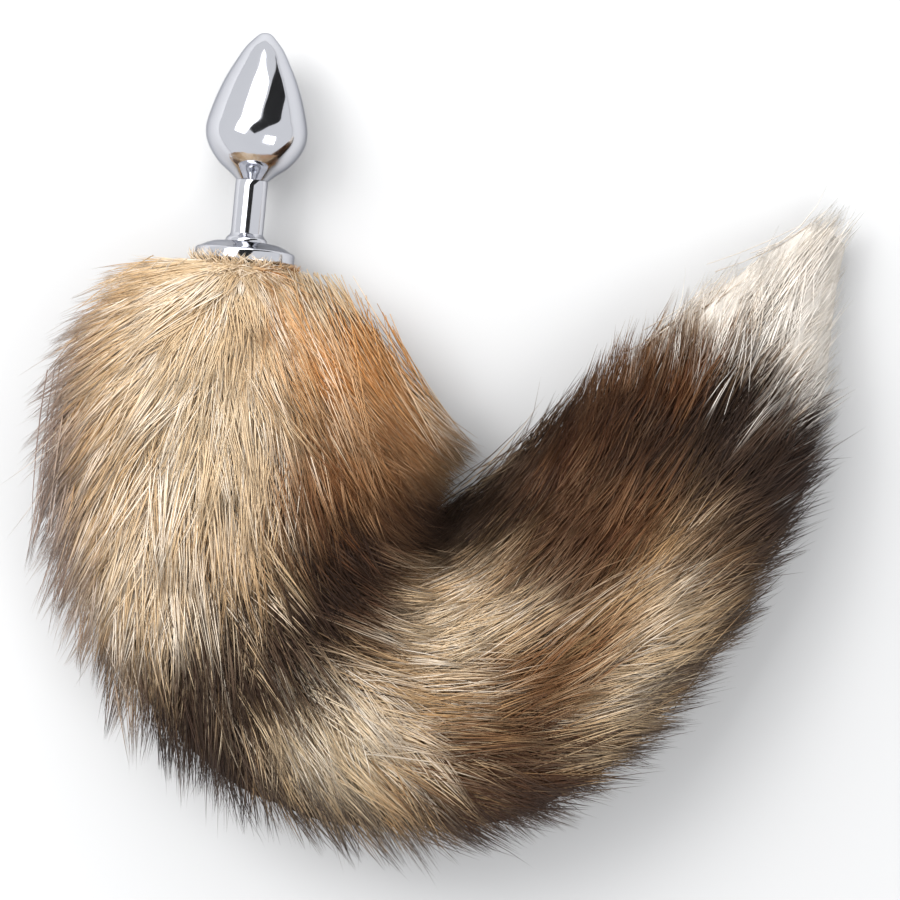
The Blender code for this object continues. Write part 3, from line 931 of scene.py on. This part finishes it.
def grow(name, strands, tree):
    """One piece of hair from arrays of control points, as a plain mesh."""
    count = len(strands["width"])
    mesh = bpy.data.meshes.new(name + "_points")
    mesh.vertices.add(count)
    mesh.vertices.foreach_set("co", strands["root"].astype(np.float32).ravel())
    for key, values in strands.items():
        kind, field = ("FLOAT_VECTOR", "vector") if values.ndim == 2 else ("FLOAT", "value")
        layer = mesh.attributes.new(key, kind, "POINT")
        layer.data.foreach_set(field, values.astype(np.float32).ravel())
    cell = mesh.attributes.new("cell", "INT", "POINT")
    cell.data.foreach_set("value", np.arange(count, dtype=np.int32))
    obj = link_object(name, mesh)
    modifier = obj.modifiers.new("strands", "NODES")
    modifier.node_group = tree
    cells = float(math.ceil(math.sqrt(count)))
    set_inputs(modifier, {"Segments": STRAND_SEGMENTS, "Cells Across": cells})
    graph = bpy.context.evaluated_depsgraph_get()
    grown = bpy.data.meshes.new_from_object(obj.evaluated_get(graph), depsgraph=graph)
    obj.modifiers.clear()
    obj.data = grown
    grown.name = name
    for spare in (*strands, "cell"):
        if spare in grown.attributes:
            grown.attributes.remove(grown.attributes[spare])
    bpy.data.meshes.remove(mesh)
    return finish_piece(obj, "tail_fur")


def comb_collar(tail, chance):
    """Short hairs round the tail's root: some lie back on it and some stand over the flange."""
    turn = chance.uniform(*COLLAR_ARC, COLLAR_HAIRS) * math.pi
    leftward = 0.25 + 0.75 * np.clip((turn - 0.15 * math.pi) / (0.5 * math.pi), 0, 1)
    rim = FLANGE_DIAMETER / 2
    reach = chance.uniform(-COLLAR_LIES_BACK, 1.0, COLLAR_HAIRS)
    reach = COLLAR_REACH * np.where(reach > 0, reach * leftward, reach)
    lean = turn + chance.normal(0, COLLAR_LEAN, COLLAR_HAIRS)
    lift = chance.uniform(0.6, 2.6, COLLAR_HAIRS) * MM + np.maximum(-reach, 0) * 0.9
    ones = np.ones(COLLAR_HAIRS)
    rings = {
        "root": (turn, TAIL_ROOT_DIAMETER / 2 * 0.9 * ones, -2.2 * MM * ones),
        "bend": (turn, rim + chance.uniform(0.8, 1.9, COLLAR_HAIRS) * MM, -1.0 * MM + reach * 0.2),
        "point": (lean, rim + lift, reach),
    }
    tone = np.clip(chance.normal(0.6, 0.25, COLLAR_HAIRS), 0, 1)
    along, across = COLLAR_COLOUR_AT
    place = np.stack([along * ones, across * np.cos(turn), tone], 1)
    strands = {"width": STRAND_WIDTH * chance.uniform(0.7, 1.1, COLLAR_HAIRS)}
    for key, (angle, radius, y) in rings.items():
        x = tail.root[0] + radius * np.cos(angle)
        z = np.maximum(tail.root[2] + radius * np.sin(angle), HAIR_ON_FLOOR)
        strands[key] = np.stack([x, tail.root[1] + np.where(y > 0, y, y - 0.3 * MM), z], 1)
        strands[key + "_place"] = place
    return strands


def build_hair(tail):
    chance = np.random.default_rng(HAIR_SEED)
    coat = comb_hair(tail, HAIR_PIECES * STRANDS_IN_PIECE - COLLAR_HAIRS, chance)
    collar = comb_collar(tail, chance)
    strands = {key: np.concatenate([coat[key], collar[key]]) for key in coat}
    order = np.argsort(strands["point_place"][:, 0], kind="stable")
    tree = strand_tree(fur_material())
    for index in range(HAIR_PIECES):
        chosen = order[index * STRANDS_IN_PIECE : (index + 1) * STRANDS_IN_PIECE]
        piece = {key: values[chosen] for key, values in strands.items()}
        grow(f"tail_hair_{index + 1}", piece, tree)


def flat_sheet(name, wide, tall, material):
    """A flat sheet of half sizes wide and tall, facing up."""
    mesh = bpy.data.meshes.new(name)
    corners = [(-wide, -tall), (wide, -tall), (wide, tall), (-wide, tall)]
    mesh.from_pydata([(x, y, 0.0) for x, y in corners], [], [(0, 1, 2, 3)])
    mesh.materials.append(material)
    return link_object(name, mesh)


def build_floor():
    paper = plain_material("floor_paper", FLOOR_ALBEDO, FLOOR_ROUGHNESS)
    flat_sheet("floor", FLOOR_HALF, FLOOR_HALF, paper)


def aimed(obj, target, far, right, ahead, long_way):
    """Stands a flat object off from a target, turned to face it: right and ahead are degrees from
    straight above the target, and long_way is the plan direction of its longer side."""
    lean = Vector((math.tan(math.radians(right)), math.tan(math.radians(ahead)), 1.0)).normalized()
    tall = Vector((math.cos(math.radians(long_way)), math.sin(math.radians(long_way)), 0.0))
    wide = tall.cross(lean).normalized()
    turned = Matrix((wide, lean.cross(wide), lean)).transposed()
    obj.matrix_world = Matrix.Translation(Vector(target) + lean * far) @ turned.to_4x4()
    obj.visible_camera = False
    return obj


def soft_light(name, size, power):
    light = bpy.data.lights.new(name, "AREA")
    light.shape = "RECTANGLE"
    light.size, light.size_y = size
    light.energy = power
    return link_object(name, light)


def dark_card(size):
    """A dark card that shows only as the dark band in the metal."""
    black = plain_material("dark_card", CARD_ALBEDO, CARD_ROUGHNESS)
    card = flat_sheet("dark_card", size[0] / 2, size[1] / 2, black)
    card.visible_diffuse = False
    card.visible_shadow = False
    return card


def build_light(root):
    """Even light from the room, a key that the metal doesn't show, a fill, and what it shows."""
    world = bpy.data.worlds.new("studio")
    world.use_nodes = True
    background = world.node_tree.nodes["Background"].inputs
    background["Color"].default_value = WORLD_COLOUR
    background["Strength"].default_value = WORLD_STRENGTH
    bpy.context.scene.world = world
    bulb = (root[0], root[1] + FLANGE_THICKNESS + NECK_LENGTH + BULB_LENGTH / 3, root[2])
    for name, size, watts, in_metal, faces_bulb, *place in STUDIO_LIGHTS:
        light = aimed(soft_light(name, size, watts), bulb if faces_bulb else COAT_MIDDLE, *place)
        light.visible_glossy = in_metal
    card = aimed(dark_card(CARD_SIZE), bulb, *CARD_PLACE)


def build_camera(root):
    camera = bpy.data.cameras.new("camera")
    camera.lens = CAMERA_LENS
    camera.sensor_width = CAMERA_SENSOR
    camera.clip_end = 10.0
    right = (PHOTO_WIDTH / 2 - PHOTO_FLANGE[0]) / PHOTO_SCALE * MM
    up = (PHOTO_FLANGE[1] - PHOTO_WIDTH / 2) / PHOTO_SCALE * MM
    turn = CAMERA_ROLL
    height = PHOTO_WIDTH / PHOTO_SCALE * MM * CAMERA_LENS / CAMERA_SENSOR
    obj = link_object("camera", camera)
    obj.location = (
        root[0] + right * math.cos(turn) - up * math.sin(turn),
        root[1] + right * math.sin(turn) + up * math.cos(turn),
        root[2] + height,
    )
    obj.rotation_euler = (0, 0, turn)
    bpy.context.scene.camera = obj


def main():
    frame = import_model()
    low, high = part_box("plug")
    root = ((low[0] + high[0]) / 2, low[1], (low[2] + high[2]) / 2)
    build_camera(root)
    build_floor()
    build_light(root)
    build_plug(root, polished_metal())
    pin = frame["nodes"]["tail_post"]
    pin.data.materials.clear()
    pin.data.materials.append(pin_metal())
    tail = Tail(root)
    build_undercoat(tail, undercoat_material())
    build_hair(tail)
    bpy.context.scene.view_settings.view_transform = "Standard"


main()
